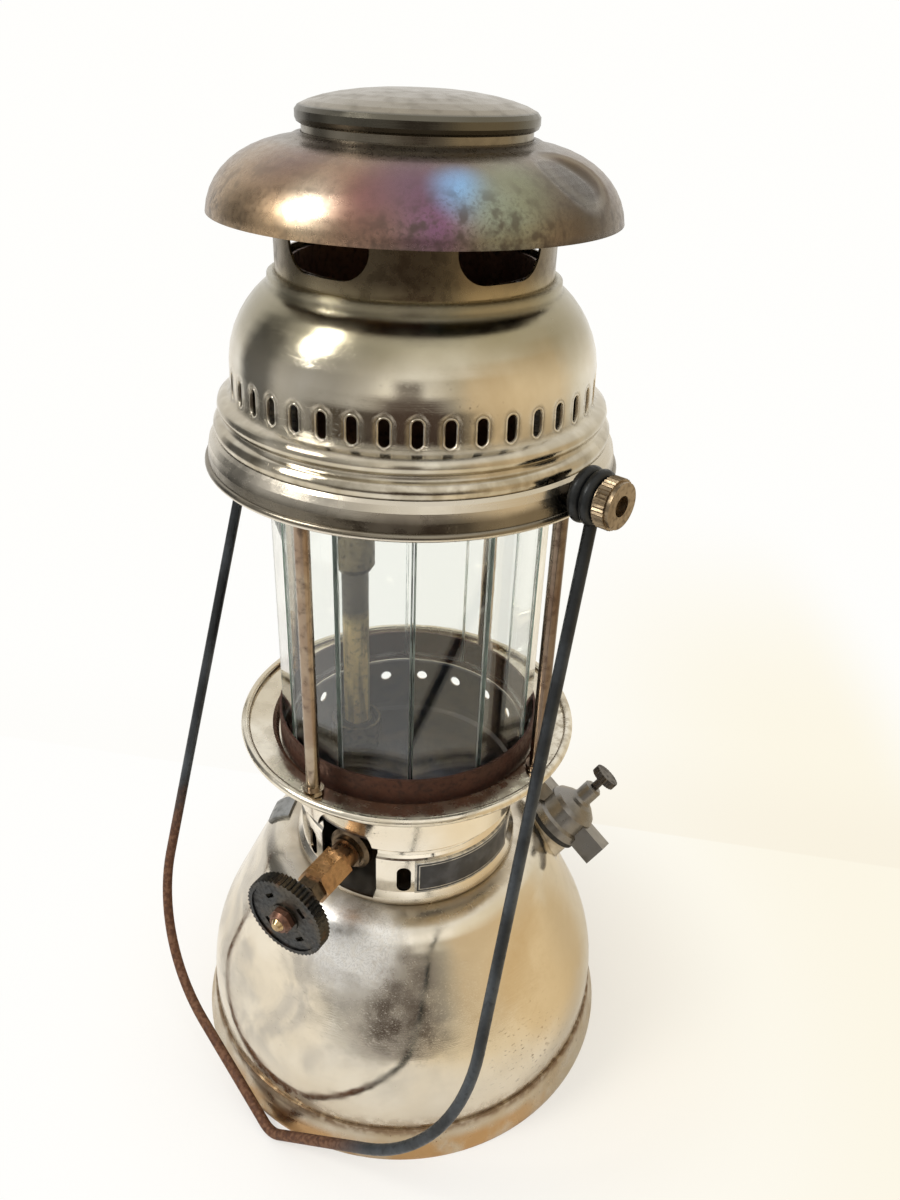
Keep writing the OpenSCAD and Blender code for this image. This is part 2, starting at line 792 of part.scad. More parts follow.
module nut(side) {
    color("darkkhaki") on_pivot(side) difference() {
        union() {
            translate([0, 0, nut_x + 0.5]) knurled(nut_r, 0.35, 40, nut_l - 1.7);
            rod(nut_r - 0.7, nut_x, nut_x + nut_l);
        }
        rod(stud_r + fit, nut_x - 1, nut_x + nut_l + 1);
        rod(nut_bore, nut_x + nut_l - 2.8, nut_x + nut_l + 1);
    }
}

module nut_right() { nut(1); }
module nut_left() { nut(-1); }

// The bail rests on the ground just in front of the foot
bail_y = foot_r + wire_r + bail_gap;
bail_drop = z_pivot - wire_r - 0.1;
bail_rest = atan(bail_y / bail_drop);
bail_reach = norm([bail_y, bail_drop]);

// The wire's bends in the bail's own plane, sideways and down from the pivot line
bail_path = [
    [-eye_x, -eye_r],
    [-eye_x - 4.2, -25],
    [-eye_x - bail_left, 27.2 - bail_reach],
    [14.5, -bail_reach - 0.8],
    [eye_x + bail_right, 48.7 - bail_reach],
    [eye_x, -eye_r]];
bail_radii = [0, 20, 55, 8, 65, 0];

function unit(v) = v / norm(v);
function turn(p, i) = let (a = unit(p[i] - p[i - 1]), b = unit(p[i + 1] - p[i]))
    atan2(a[0] * b[1] - a[1] * b[0], a * b);
function setback(p, r, i) = (i == 0 || i == len(p) - 1) ? 0 : r[i] * tan(abs(turn(p, i)) / 2);

// Wire bent along a path in the XZ plane, with a bend radius at each point. A hidden bead joins
// each bend to the straight wire beside it.
seam = 0.1;
bead = 0.02;

module bent_wire(p, r, wire) {
    last = len(p) - 1;
    for (i = [0:last - 1]) {
        d = unit(p[i + 1] - p[i]);
        from = i == 0 ? 0 : setback(p, r, i) + seam;
        to = i + 1 == last ? 0 : setback(p, r, i + 1) + seam;
        a = p[i] + d * from;
        translate([a[0], 0, a[1]]) rotate([0, atan2(d[0], d[1]), 0])
            cylinder(r = wire, h = norm(p[i + 1] - p[i]) - from - to);
    }
    for (i = [1:last - 1]) {
        angle = turn(p, i);
        s = sign(angle);
        d = unit(p[i] - p[i - 1]);
        e = unit(p[i + 1] - p[i]);
        n = s * [-d[1], d[0]];
        a = p[i] - d * setback(p, r, i);
        b = p[i] + e * setback(p, r, i);
        c = a + n * r[i];
        gap = seam / r[i] * 180 / PI;
        start = atan2(-n[1], -n[0]) + (s > 0 ? 0 : angle) + gap;
        translate([c[0], 0, c[1]]) rotate([90, 0, 0]) rotate([0, 0, start])
            rotate_extrude(angle = abs(angle) - 2 * gap) translate([r[i], 0]) circle(r = wire);
        for (q = [a, b]) translate([q[0], 0, q[1]]) sphere(r = wire + bead);
    }
}

module bail() {
    color("darkslategray") translate([0, 0, z_pivot]) rotate([-bail_rest, 0, 0]) {
        bent_wire(bail_path, bail_radii, wire_r, $fn = 32);
        for (s = [-1, 1], x = [coil_x + bead, eye_x]) translate([s * x, 0, 0]) rotate([0, 90, 0])
            rotate_extrude($fn = 48) translate([eye_r, 0]) circle(r = wire_r + bead, $fn = 32);
    }
}

// ---- Hood ----

z_band = z_cage - cage_h - 0.3;
z_vent = z_ridge + vent_rise;
z_shoulder = z_ridge + shoulder_rise;
slot_clear = 0.25;

module hood_band() {
    color("gray") difference() {
        union() {
            spun([
                [cage_r + 1.1, z_ridge - fit],
                [cage_r + 2, z_ridge - 0.9],
                [band_r - 0.8, z_ridge - 2.6],
                [band_r - 0.3, z_ridge - 5],
                [band_r, z_band + 1.2]], sheet);
            rotate_extrude() translate([band_r - 0.2, z_band + 1]) circle(r = rim_r, $fn = 32);
        }
        for (s = [-1, 1]) on_pivot(s) {
            rod(stud_r + slot_clear, cage_r - 2, band_r + 4);
            translate([s > 0 ? 0 : -20, -stud_r - slot_clear, cage_r - 2])
                cube([20, 2 * (stud_r + slot_clear), band_r - cage_r + 6]);
        }
    }
}

vent_row_r = band_r - 7.6;

module hood_shoulder() {
    top = [neck_r + fit, z_shoulder];
    color("lightgray") difference() {
        spun(concat(
            [top, top + [0.9, 0], top + [2.1, -0.6], top + [2.3, -2.7]],
            curve(top + [2.4, -3], top + [6.2, -5.2], [vent_row_r - 0.9, z_vent + 14.5],
                [vent_row_r - 0.3, z_vent + 5], 7),
            [[vent_row_r, z_vent - 3.8],
             [vent_row_r + 0.7, z_ridge + 10.3],
             [vent_row_r + 2.4, z_ridge + 9.6],
             [vent_row_r + 3.6, z_ridge + 8.7],
             [vent_row_r + 3.9, z_ridge + 7.6],
             [vent_row_r + 3.5, z_ridge + 6.4],
             [vent_row_r + 2.8, z_ridge + 5.4],
             [vent_row_r + 3.0, z_ridge + 4.4],
             [vent_row_r + 4.4, z_ridge + 3.6],
             [vent_row_r + 5.2, z_ridge + 2.5],
             [vent_row_r + 5.3, z_ridge + 1.7],
             [cage_r + 1.3, z_ridge + 0.6],
             [cage_r + 1.1, z_ridge]]), sheet);
        for (i = [0:vents - 1]) radial(i * 360 / vents, z_vent) translate([0, 0, vent_row_r - 3])
            linear_extrude(6) round_slot(vent_w, vent_h);
    }
}

z_disc = z_shoulder + disc_rise;
disc_neck_r = disc_r - 1.5;
cap_path = concat(
    [[disc_neck_r + 0.2, z_disc - 9.2], [disc_neck_r + 1.7, z_disc - 9.4]],
    curve([disc_neck_r + 3.6, z_disc - 10.3], [cap_r - 9.2, z_disc - 11.9],
        [cap_r - 1, z_disc - 18.5], [cap_r, z_shoulder + 14.6], 10));
z_window = z_shoulder + 3.4;
z_neck_top = height_at(cap_path, neck_r) - 1.1 * sheet - 0.1;

// A window with a flat head and a rounded foot
module window_outline() {
    w = 2 * neck_r * sin(window_deg / 2);
    foot = w / 2 - window_round;
    polygon(concat(
        [[-w / 2, window_h]],
        [for (a = [180:7.5:270]) [-foot, window_round] + window_round * [cos(a), sin(a)]],
        [for (a = [270:7.5:360]) [foot, window_round] + window_round * [cos(a), sin(a)]],
        [[w / 2, window_h]]));
}

module hood_neck() {
    color("saddlebrown") difference() {
        tube(neck_r, neck_r - sheet, z_shoulder - 1.8, z_neck_top);
        for (i = [0:windows - 1]) radial(window_az + i * 360 / windows, z_window)
            translate([0, 0, neck_r * cos(window_deg / 2) - 3]) linear_extrude(8) window_outline();
    }
}

module hood_cap() {
    color("rosybrown") spun(cap_path, sheet);
}

module hood_disc() {
    color("gray") spun(concat(
        [[0, z_disc + 1]],
        curve([disc_r * 0.15, z_disc + 1], [disc_r * 0.5, z_disc + 0.9], [disc_r * 0.84, z_disc - 0.9],
            [disc_r - 0.8, z_disc - 3.3], 6),
        [[disc_r, z_disc - 4.3],
         [disc_r, z_disc - 6],
         [disc_r - 0.4, z_disc - 6.9],
         [disc_neck_r, z_disc - 7.5],
         [disc_neck_r, z_disc - 10.4]]), sheet);
}

// ---- Filler ----

neck_top = 3.2;
gasket_top = neck_top + fit + gasket_t;
cap_from = gasket_top + fit;
screw_r = 1.5;

module filler_neck() {
    color("silver") in_filler() tube(filler_neck_r, filler_bore, -5, neck_top);
}

module filler_gasket() {
    color("black") in_filler() tube(filler_cap_r - 0.4, filler_bore, neck_top + fit, gasket_top);
}

module filler_cap() {
    turned = -44;
    color("gray") in_filler() difference() {
        union() {
            rotate_extrude() polygon([
                [0, cap_from], [filler_cap_r, cap_from], [filler_cap_r, cap_from + 3],
                [filler_cap_r - 1.2, cap_from + 4], [filler_cap_r - 1.2, cap_from + 9.5],
                [filler_cap_r - 2.2, cap_from + 11.2], [filler_cap_r - 5, cap_from + 13.4],
                [4.4, cap_from + 14.2], [3.6, cap_from + 15.2], [3.6, cap_from + filler_cap_h - 0.8],
                [2.8, cap_from + filler_cap_h], [0, cap_from + filler_cap_h]]);
            rotate([0, 0, turned]) for (s = [0, 180]) rotate([0, 0, s])
                translate([-wing_w / 2, 5, cap_from + 0.4]) cube([wing_w, wing_reach - 5, wing_h]);
        }
        rod(screw_r + fit, cap_from + 5, cap_from + filler_cap_h + 1);
        rod(filler_bore, cap_from - 1, cap_from + 3);
    }
}

module release_screw() {
    head_from = cap_from + filler_cap_h + 4.2;
    color("dimgray") in_filler() {
        rod(screw_r, cap_from + 5.5, head_from + 0.5);
        translate([0, 0, head_from]) knurled(screw_head_r, 0.3, 24, 2.8);
    }
}

// ---- Pump ----

mouth_l = 6.4;
pump_cap_from = 2.2;
pump_cap_to = mouth_l + 2.8;
piston_at = -pump_l + 8;

module pump_barrel() {
    color("goldenrod") in_pump() difference() {
        union() {
            rod(pump_r, -pump_l, mouth_l);
            rod(pump_r + 2.2, fit, 1.8);
        }
        rod(pump_r - pump_wall, -pump_l - 1, mouth_l + 1);
    }
}

module pump_valve() {
    color("goldenrod") in_pump() {
        rod(pump_r - pump_wall - fit, -pump_l, -pump_l + 5);
        rod(3.2, -pump_l - 5, -pump_l);
    }
}

module pump_cap() {
    color("goldenrod") in_pump() difference() {
        translate([0, 0, pump_cap_from]) knurled(pump_r + 2, 0.3, 30, pump_cap_to - pump_cap_from);
        rod(pump_r + fit, pump_cap_from - 1, mouth_l + fit);
        rod(pump_rod_r + fit, mouth_l - 1, pump_cap_to + 1);
    }
}

module pump_rod() {
    color("silver") in_pump() {
        rod(pump_rod_r, piston_at - 1, pump_cap_to + 4);
        rod(pump_r - pump_wall - 1.4, piston_at - 2, piston_at - fit);
    }
}

module pump_leather() {
    color("saddlebrown") in_pump() difference() {
        rod(pump_r - pump_wall - fit, piston_at, piston_at + 4);
        rod(pump_rod_r + fit, piston_at - 1, piston_at + 5);
    }
}

module pump_knob() {
    color("dimgray") in_pump() difference() {
        translate([0, 0, pump_cap_to + loose]) union() {
            knurled(knob_r, 0.35, 36, knob_l - 2);
            rod(knob_r - 1, 0, knob_l);
        }
        rod(pump_rod_r + fit, pump_cap_to, pump_cap_to + 4.2);
    }
}

foot_ring();
tank_shell();
tank_bottom();
solder_patch();
collar();
badge_plate();
gallery_dish();
valve_body();
pickup_tube();
spindle_flange();
gland_hex();
packing_nut();
spindle();
handwheel();
wheel_nut();
lift_yoke();
valve_rod();
needle_rod();
vaporizer_tube();
vaporizer_sleeve();
jet_nipple();
spirit_cup();
mixing_tube();
burner_chamber();
burner_nozzle();
burner_plate();
inner_chimney();
globe_strips();
globe_ring_lower();
globe_ring_upper();
rod_front();
rod_right();
rod_back();
rod_left();
cage_ring();
stud_right();
stud_left();
nut_right();
nut_left();
bail();
hood_band();
hood_shoulder();
hood_neck();
hood_cap();
hood_disc();
filler_neck();
filler_gasket();
filler_cap();
release_screw();
pump_barrel();
pump_valve();
pump_cap();
pump_rod();
pump_leather();
pump_knob();
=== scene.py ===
"""Looks for a pressure paraffin lantern: worn nickel, heat-tinted hood, strip globe and a wire bail.

Lengths are in millimetres and angles in degrees, except where Blender takes metres or radians."""

import math

import bpy
from mathutils import Matrix, Vector

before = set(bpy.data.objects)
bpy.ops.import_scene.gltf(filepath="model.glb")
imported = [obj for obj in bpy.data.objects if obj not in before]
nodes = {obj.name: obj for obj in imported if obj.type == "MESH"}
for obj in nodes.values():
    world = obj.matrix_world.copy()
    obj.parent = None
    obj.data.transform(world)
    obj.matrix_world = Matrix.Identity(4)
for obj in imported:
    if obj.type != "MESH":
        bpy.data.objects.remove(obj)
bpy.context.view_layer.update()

MM = 0.001
MM_PER_M = 1000.0
DEG_PER_RAD = 180 / math.pi
TURN = 41.0  # azimuth of the camera, from the front (-Y) towards the right (+X)


def place(radius, azimuth, height):
    """A point from its cylinder coordinates."""
    a = math.radians(azimuth)
    return Vector((radius * math.sin(a), -radius * math.cos(a), height)) * MM


# ---- Camera ----

CAMERA_AT = Vector((0.01283, -0.2658, 0.3346))  # metres, before the turn about Z
CAMERA_PITCH = 30.28
CAMERA_ROLL = 0.0412  # sine of the roll
CAMERA_LENS = 28.77


def make_camera():
    pitch = math.radians(CAMERA_PITCH)
    forward = Vector((0, math.cos(pitch), -math.sin(pitch)))
    level = Vector((1, 0, 0))
    above = level.cross(forward)
    c = math.sqrt(1 - CAMERA_ROLL**2)
    right = level * c + above * CAMERA_ROLL
    up = above * c - level * CAMERA_ROLL
    turn = Matrix.Rotation(math.radians(TURN), 4, "Z")
    axes = Matrix((right, up, -forward)).transposed().to_4x4()
    data = bpy.data.cameras.new("camera")
    data.lens = CAMERA_LENS
    data.sensor_width = 36.0
    data.clip_start = 0.01
    camera = bpy.data.objects.new("camera", data)
    camera.matrix_world = turn @ Matrix.Translation(CAMERA_AT) @ axes
    bpy.context.scene.collection.objects.link(camera)
    bpy.context.scene.camera = camera


# ---- Material kit ----

MIX_A, MIX_B, MIX_RESULT = 6, 7, 2  # a Mix node's colour sockets, whose names others share
BEVEL_SAMPLES = 6


class Nodes:
    """A node tree being built. Each method adds a node and returns its output."""

    def __init__(self, tree, where="Object"):
        self.tree = tree
        self.here = tree.nodes.new("ShaderNodeTexCoord").outputs[where]
        self.split = None

    def put(self, value, socket):
        if isinstance(value, bpy.types.NodeSocket):
            self.tree.links.new(value, socket)
        elif isinstance(value, tuple) and len(value) == 3 and socket.type == "RGBA":
            socket.default_value = (*value, 1)
        else:
            socket.default_value = value

    def noise(self, size, detail=4.0, stretch=(1, 1, 1), twist=0.0, turned=(0, 0, 0)):
        """Noise with features of about the given size."""
        where = self.here
        if stretch != (1, 1, 1) or turned != (0, 0, 0):
            mapping = self.tree.nodes.new("ShaderNodeMapping")
            mapping.inputs["Scale"].default_value = stretch
            mapping.inputs["Rotation"].default_value = [math.radians(t) for t in turned]
            self.put(self.here, mapping.inputs["Vector"])
            where = mapping.outputs["Vector"]
        node = self.tree.nodes.new("ShaderNodeTexNoise")
        node.inputs["Scale"].default_value = MM_PER_M / size
        node.inputs["Detail"].default_value = detail
        node.inputs["Distortion"].default_value = twist
        self.put(where, node.inputs["Vector"])
        return node.outputs["Fac"]

    def math(self, operation, a, b=0.0):
        node = self.tree.nodes.new("ShaderNodeMath")
        node.operation = operation
        for value, socket in zip((a, b), node.inputs):
            self.put(value, socket)
        return node.outputs[0]

    def plus(self, a, b):
        return self.math("ADD", a, b)

    def minus(self, a, b):
        return self.math("SUBTRACT", a, b)

    def most(self, a, b):
        return self.math("MAXIMUM", a, b)

    def times(self, *values):
        """The product of all the values."""
        out = values[0]
        for value in values[1:]:
            out = self.math("MULTIPLY", out, value)
        return out

    def off(self, value, middle):
        """How far a value is from a middle, on either side of it."""
        return self.math("ABSOLUTE", self.minus(value, middle))

    def step(self, value, low, high, to_low=0.0, to_high=1.0):
        """A smooth change from to_low to to_high while value goes from low to high."""
        node = self.tree.nodes.new("ShaderNodeMapRange")
        node.interpolation_type = "SMOOTHSTEP"
        limits = {"From Min": low, "From Max": high, "To Min": to_low, "To Max": to_high}
        for name, number in limits.items():
            node.inputs[name].default_value = number
        self.put(value, node.inputs["Value"])
        return node.outputs["Result"]

    def ramp(self, value, low, high, *stops):
        """A colour from stops of value and colour, for a value between low and high."""
        node = self.tree.nodes.new("ShaderNodeValToRGB")
        marks = node.color_ramp.elements
        while len(marks) < len(stops):
            marks.new(1.0)
        for mark, (at, colour) in zip(marks, stops):
            mark.position = (at - low) / (high - low)
            mark.color = (*colour, 1)
        share = self.math("DIVIDE", self.minus(value, low), high - low)
        self.put(share, node.inputs["Fac"])
        return node.outputs["Color"]

    def mix(self, amount, a, b):
        """Colour a where amount is 0, and b where it is 1."""
        node = self.tree.nodes.new("ShaderNodeMix")
        node.data_type = "RGBA"
        self.put(amount, node.inputs["Factor"])
        self.put(a, node.inputs[MIX_A])
        self.put(b, node.inputs[MIX_B])
        return node.outputs[MIX_RESULT]

    def axis(self, letter):
        """A coordinate in metres."""
        if self.split is None:
            self.split = self.tree.nodes.new("ShaderNodeSeparateXYZ")
            self.put(self.here, self.split.inputs[0])
        return self.split.outputs[letter.upper()]

    def height(self):
        """Height above the ground."""
        return self.times(self.axis("z"), MM_PER_M)

    def radius(self):
        """Distance from the lantern's axis."""
        x, y = self.axis("x"), self.axis("y")
        squares = self.plus(self.times(x, x), self.times(y, y))
        return self.times(self.math("SQRT", squares), MM_PER_M)

    def azimuth(self):
        """Degrees from the front towards the right, -180 to 180."""
        to_front = self.times(self.axis("y"), -1.0)
        return self.times(self.math("ARCTAN2", self.axis("x"), to_front), DEG_PER_RAD)

    def near(self, point, reach):
        """1 at a point, falling to 0 at a distance of reach from it."""
        node = self.tree.nodes.new("ShaderNodeVectorMath")
        node.operation = "DISTANCE"
        self.put(self.here, node.inputs[0])
        node.inputs[1].default_value = point
        return self.step(node.outputs["Value"], 0.0, reach * MM, 1.0, 0.0)

    def rounded(self, radius, plain_below=None):
        """The normal averaged over a radius, so that the facets don't show.

        Below the height plain_below the radius is a third, which keeps narrow ridges crisp."""
        node = self.tree.nodes.new("ShaderNodeBevel")
        node.samples = BEVEL_SAMPLES
        full = radius * MM
        node.inputs["Radius"].default_value = full
        if plain_below is not None:
            size = self.step(self.height(), plain_below - 2, plain_below + 2, full / 3, full)
            self.put(size, node.inputs["Radius"])
        return node.outputs["Normal"]

    def bump(self, height, depth, below=None):
        """Relief of the given depth, on top of other relief."""
        node = self.tree.nodes.new("ShaderNodeBump")
        node.inputs["Distance"].default_value = depth * MM
        self.put(height, node.inputs["Height"])
        if below is not None:
            self.put(below, node.inputs["Normal"])
        return node.outputs["Normal"]


class Look(Nodes):
    """A material made from nodes. tone, rough and relief are its colour, roughness and normal so far."""

    def __init__(self, name, metallic=0.0, roughness=0.5):
        self.material = bpy.data.materials.new(name)
        self.material.use_nodes = True
        super().__init__(self.material.node_tree)
        self.shader = self.tree.nodes["Principled BSDF"]
        self.set(metallic=metallic, roughness=roughness)
        self.tone, self.rough, self.relief = None, None, None

    def set(self, **inputs):
        for name, value in inputs.items():
            label = "IOR" if name == "ior" else name.replace("_", " ").title()
            self.put(value, self.shader.inputs[label])

    def stain(self, mask, amount, colour, rougher=0.0):
        """Lay a colour over the tone where the mask is 1, and add rougher to the roughness there."""
        cover = mask if amount == 1.0 else self.times(mask, amount)
        self.tone = self.mix(cover, self.tone, colour)
        if rougher:
            self.rough = self.plus(self.rough, self.times(mask, rougher))

    def finish(self, *names):
        """Put the tone, roughness and relief on the shader, and the material on the named pieces."""
        made = {"base_color": self.tone, "roughness": self.rough, "normal": self.relief}
        self.set(**{name: value for name, value in made.items() if value is not None})
        for name in names:
            slots = nodes[name].data.materials
            if not slots:
                slots.append(self.material)
            for i in range(len(slots)):
                slots[i] = self.material


# ---- Metal recipes ----


def spun_lines(look):
    """Fine lines that run round the lantern, as spinning and polishing leave them."""
    return look.noise(14, detail=3.0, stretch=(1, 1, 60))


def scratches(look):
    """Fine crossing scratches, 0 to 1."""
    one = look.noise(9, detail=2.0, stretch=(1, 14, 14), turned=(20, 35, 15))
    two = look.noise(7, detail=2.0, stretch=(16, 1, 16), turned=(50, 10, 65))
    return look.most(look.step(one, 0.63, 0.68), look.step(two, 0.66, 0.71))


def plated(name, bright, warm, dark, shine=(0.12, 0.32), spots=0.5, dents=0.25, worn=0.06,
           facet=0.0, plain_below=None):
    """Old polished plate: tone drifts from bright to warm, with dark specks, scratches and soft dents.

    shine is the least and the greatest roughness, spots the strength of the specks, dents the depth of the
    dents and worn what a scratch adds to the roughness. facet and plain_below are what rounded() takes."""
    look = Look(name, metallic=1.0)
    drift = look.step(look.noise(34, detail=5.0, twist=0.6), 0.38, 0.66)
    cloud = look.noise(7, detail=6.0)
    specks = look.step(look.noise(1.1, detail=3.0), 0.66, 0.74)
    patches = look.step(look.noise(22, detail=4.0), 0.5, 0.66)
    marks = scratches(look)
    look.tone = look.mix(look.times(drift, 0.85), bright, warm)
    look.stain(look.step(cloud, 0.35, 0.75, 0.0, 0.35), 1.0, warm)
    look.rough = look.plus(look.step(cloud, 0.3, 0.75, *shine), look.times(marks, worn))
    look.stain(look.times(specks, patches, spots), 1.0, dark, rougher=0.35)
    smooth = look.rounded(facet, plain_below) if facet else None
    look.relief = look.bump(look.noise(26, detail=2.0), dents, smooth)
    look.relief = look.bump(spun_lines(look), 0.006, look.relief)
    look.relief = look.bump(marks, 0.004, look.relief)
    return look


def tarnished(name, base, warm, dark, shine=(0.28, 0.55), grain=1.6, metallic=1.0, depth=0.05):
    """Dull metal with mottled tarnish. grain is the size of the mottling and depth its relief."""
    look = Look(name, metallic=metallic)
    big = look.noise(grain * 9, detail=5.0, twist=0.8)
    small = look.noise(grain, detail=5.0)
    look.tone = look.mix(look.step(big, 0.35, 0.68), base, warm)
    look.stain(look.step(small, 0.45, 0.8, 0.0, 0.75), 1.0, dark)
    look.rough = look.step(small, 0.3, 0.75, *shine)
    look.relief = look.bump(small, depth)
    return look


NICKEL = (0.77, 0.715, 0.61)
NICKEL_WARM = (0.68, 0.61, 0.49)
NICKEL_DIRT = (0.16, 0.12, 0.08)
SOOT_AND_SHADE = (0.035, 0.034, 0.036)


# ---- Metals that need the recipe alone ----

DULL_METALS = {
    "tank_bottom_plate": dict(
        pieces=("tank_bottom",),
        base=(0.55, 0.49, 0.40), warm=(0.46, 0.36, 0.24), dark=(0.14, 0.10, 0.07)),
    "solder_grey": dict(
        pieces=("solder_patch",),
        base=(0.34, 0.345, 0.34), warm=(0.26, 0.26, 0.255), dark=(0.14, 0.14, 0.135),
        grain=2.6, depth=0.2),
    "valve_brass": dict(
        pieces=("valve_body", "pickup_tube", "lift_yoke", "valve_rod"),
        base=(0.42, 0.30, 0.15), warm=(0.34, 0.23, 0.12), dark=(0.07, 0.05, 0.035)),
    "gland_gold": dict(
        pieces=("gland_hex", "jet_nipple", "pump_barrel", "pump_valve", "pump_cap"),
        base=(0.43, 0.27, 0.145), warm=(0.35, 0.19, 0.10), dark=(0.15, 0.09, 0.05),
        shine=(0.22, 0.42), grain=2.4),
    "flange_bronze": dict(
        pieces=("spindle_flange",),
        base=(0.20, 0.145, 0.09), warm=(0.12, 0.085, 0.055), dark=(0.035, 0.03, 0.025),
        shine=(0.25, 0.5)),
    "packing_steel": dict(
        pieces=("packing_nut",),
        base=(0.16, 0.13, 0.10), warm=(0.10, 0.08, 0.06), dark=(0.03, 0.025, 0.02)),
    "turned_steel": dict(
        pieces=("needle_rod", "pump_rod"),
        base=(0.50, 0.47, 0.42), warm=(0.40, 0.33, 0.24), dark=(0.14, 0.11, 0.08),
        shine=(0.18, 0.4)),
    "spindle_brass": dict(
        pieces=("spindle",),
        base=(0.52, 0.38, 0.20), warm=(0.40, 0.27, 0.13), dark=(0.16, 0.10, 0.06),
        shine=(0.18, 0.36)),
    "hub_rust": dict(
        pieces=("wheel_nut",),
        base=(0.17, 0.085, 0.055), warm=(0.11, 0.055, 0.04), dark=(0.045, 0.03, 0.025),
        shine=(0.34, 0.55), metallic=0.75, depth=0.1),
    "sleeve_soot": dict(
        pieces=("vaporizer_sleeve", "spirit_cup", "burner_chamber", "burner_plate"),
        base=(0.19, 0.155, 0.09), warm=(0.085, 0.072, 0.05), dark=(0.025, 0.022, 0.018),
        shine=(0.32, 0.55)),
    "chimney_oxide": dict(
        pieces=("inner_chimney",),
        base=(0.25, 0.14, 0.09), warm=(0.17, 0.095, 0.065), dark=(0.05, 0.035, 0.03),
        shine=(0.4, 0.65)),
    "ring_rust": dict(
        pieces=("globe_ring_lower",),
        base=(0.10, 0.042, 0.027), warm=(0.07, 0.031, 0.021), dark=(0.035, 0.024, 0.02),
        shine=(0.45, 0.7), metallic=0.55, depth=0.12),
    "ring_dark": dict(
        pieces=("globe_ring_upper", "cage_ring"),
        base=(0.16, 0.15, 0.135), warm=(0.11, 0.095, 0.08), dark=(0.03, 0.026, 0.023),
        shine=(0.35, 0.6)),
    "stud_steel": dict(
        pieces=("stud_right", "stud_left"),
        base=(0.10, 0.09, 0.08), warm=(0.07, 0.06, 0.05), dark=(0.02, 0.018, 0.016)),
    "nut_brass": dict(
        pieces=("nut_right", "nut_left"),
        base=(0.36, 0.28, 0.185), warm=(0.27, 0.205, 0.13), dark=(0.08, 0.058, 0.04),
        shine=(0.3, 0.5), grain=1.2),
    "filler_cast": dict(
        pieces=("filler_cap",),
        base=(0.27, 0.255, 0.235), warm=(0.22, 0.205, 0.185), dark=(0.15, 0.14, 0.125),
        shine=(0.26, 0.38), grain=5.0, depth=0.012),
    "screw_dark": dict(
        pieces=("release_screw",),
        base=(0.10, 0.09, 0.08), warm=(0.06, 0.05, 0.045), dark=(0.02, 0.018, 0.016)),
}


def dull_metal_looks():
    for name, recipe in DULL_METALS.items():
        options = dict(recipe)
        pieces = options.pop("pieces")
        tarnished(name, **options).finish(*pieces)


# ---- Tank ----

SEAM_Z = 11.3
PITS_AT = place(72, 84, 34)
SWIRL_AND_HIGHLIGHT_AT = place(52, 24, 76)
THIN_AT = place(64, 98, 52)
GRIME = (0.34, 0.26, 0.17)
PIT = (0.12, 0.09, 0.07)
# Rubbed nickel, whitened as a painted highlight of the lamp
RUBBED_AND_HIGHLIGHT = (0.97, 0.965, 0.95)
CURL = (0.55, 0.54, 0.52)
THIN_PLATE = (0.66, 0.53, 0.34)
HAZE = (0.46, 0.43, 0.385)


def tank_look():
    look = plated("tank_nickel", NICKEL, NICKEL_WARM, NICKEL_DIRT, shine=(0.07, 0.22), spots=0.35,
                  dents=0.3, facet=3.0)
    z, r = look.height(), look.radius()
    seam = look.times(look.step(z, SEAM_Z + 9, SEAM_Z), look.step(look.noise(3.5, 5.0), 0.3, 0.62))
    collar_foot = look.times(
        look.step(r, 49, 41), look.step(look.noise(10, 3.0), 0.25, 0.7, 0.3, 1.0), 0.7)
    look.stain(look.most(seam, collar_foot), 0.7, GRIME, rougher=0.4)
    pits = look.times(
        look.near(PITS_AT, 30), look.step(look.noise(2.2, 3.0, stretch=(1, 1, 3)), 0.62, 0.68))
    look.stain(pits, 0.8, PIT, rougher=0.3)
    # Rubbed swirl of fine scratches, its tone whitened into a painted highlight of the lamp's reflection
    swirl_and_highlight = look.times(
        look.step(look.near(SWIRL_AND_HIGHLIGHT_AT, 27), 0.0, 0.6),
        look.step(look.noise(5, 6.0, twist=2.5), 0.34, 0.58, 0.72, 1.0))
    look.stain(swirl_and_highlight, 1.0, RUBBED_AND_HIGHLIGHT, rougher=0.30)
    curls = look.step(look.noise(2.6, 3.0, twist=5.0), 0.50, 0.56)
    look.stain(look.times(swirl_and_highlight, curls), 0.4, CURL)
    thin = look.times(look.near(THIN_AT, 44), look.step(look.noise(18, 4.0), 0.25, 0.55, 0.5, 1.0))
    look.stain(look.step(thin, 0.1, 0.6, 0.0, 0.75), 1.0, THIN_PLATE)
    haze = look.times(
        look.step(look.azimuth(), 78.0, 10.0),
        look.step(look.noise(24, 5.0, twist=1.0), 0.36, 0.62),
        look.step(z, 20.0, 34.0))
    look.stain(haze, 0.75, HAZE, rougher=0.07)
    look.finish("tank_shell")


def foot_look():
    look = plated("foot_brass", (0.60, 0.55, 0.46), (0.50, 0.40, 0.26), (0.16, 0.11, 0.06),
                  shine=(0.22, 0.42), spots=0.9)
    z = look.height()
    front = look.step(look.off(look.azimuth(), 36.0), 62.0, 34.0)
    worn = look.times(front, look.step(z, 9.0, 4.5), look.step(look.noise(14, 5.0), 0.30, 0.55))
    look.stain(worn, 0.9, (0.50, 0.30, 0.13))
    edge = look.times(
        look.step(z, SEAM_Z - 3.0, SEAM_Z + 1.0),
        look.step(look.noise(3.2, 5.0), 0.30, 0.58, 0.35, 1.0))
    look.stain(edge, 0.8, (0.20, 0.12, 0.065), rougher=0.3)
    look.finish("foot_ring")


# ---- Collar and gallery ----

BADGE_FROM, BADGE_TO = 48.5, 110.0
BADGE_LOW, BADGE_HIGH = 87.7, 101.3
BADGE_RADIUS = 38.5


